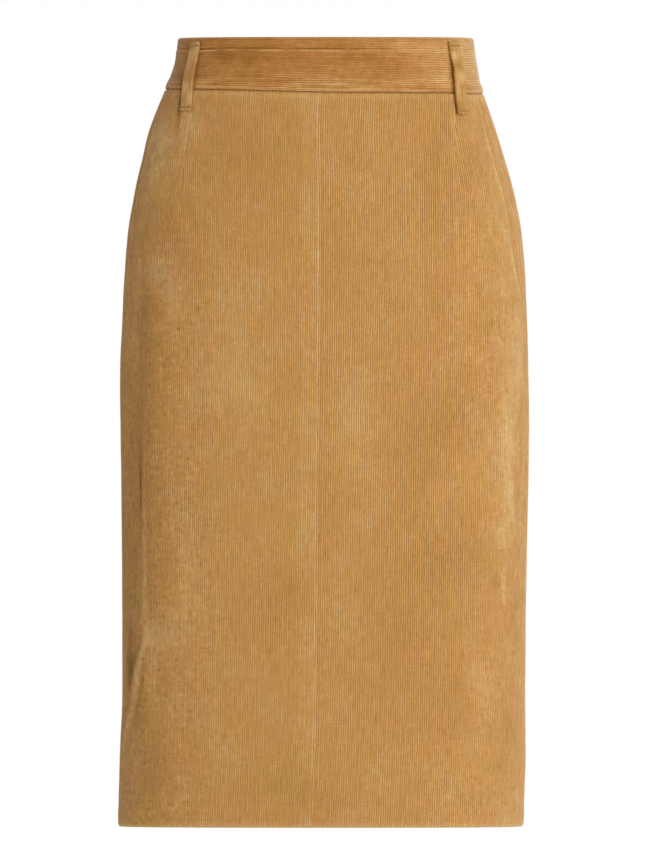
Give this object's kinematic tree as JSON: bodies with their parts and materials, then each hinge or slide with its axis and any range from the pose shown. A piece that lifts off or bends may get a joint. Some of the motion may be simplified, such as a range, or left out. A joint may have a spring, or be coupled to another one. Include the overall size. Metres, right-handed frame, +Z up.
{
  "type": "pencil skirt",
  "caption": "Knee-length high-waisted pencil skirt in tan corduroy with a waistband, belt loops, in-seam pockets, a centre-back zip and a walking slit.",
  "frame": {"origin": "centre of the waist, half way up the waistband", "axes": "+Z up along the skirt's length, +X towards the wearer's left, the front faces -Y"},
  "size_m": [0.3513, 0.2215, 0.674],
  "materials": {
    "corduroy": "fine lengthwise ribs of cut cotton pile, tan",
    "zip_tape": "plain woven polyester tape, tan",
    "zip_metal": "satin tan paint"
  },
  "bodies": {
    "skirt": {"front_left": "corduroy", "front_right": "corduroy", "back_left": "corduroy", "back_right": "corduroy", "pocket_facing_left": "corduroy", "pocket_facing_right": "corduroy", "waistband": "corduroy", "belt_loop_front_left": "corduroy", "belt_loop_front_right": "corduroy", "belt_loop_back_left": "corduroy", "belt_loop_back_right": "corduroy", "zip_tape_left": "zip_tape", "zip_tape_right": "zip_tape", "zip_slider": "zip_metal"},
    "pull": {"zip_pull": "zip_metal"}
  },
  "joints": [
    {"name": "zip_pull_swing", "type": "hinge", "parent": "skirt", "child": "pull", "pos_m": [0.002, 0.09376, 0.00931], "axis": [1, 0, 0], "range_deg": [0, 150]}
  ]
}
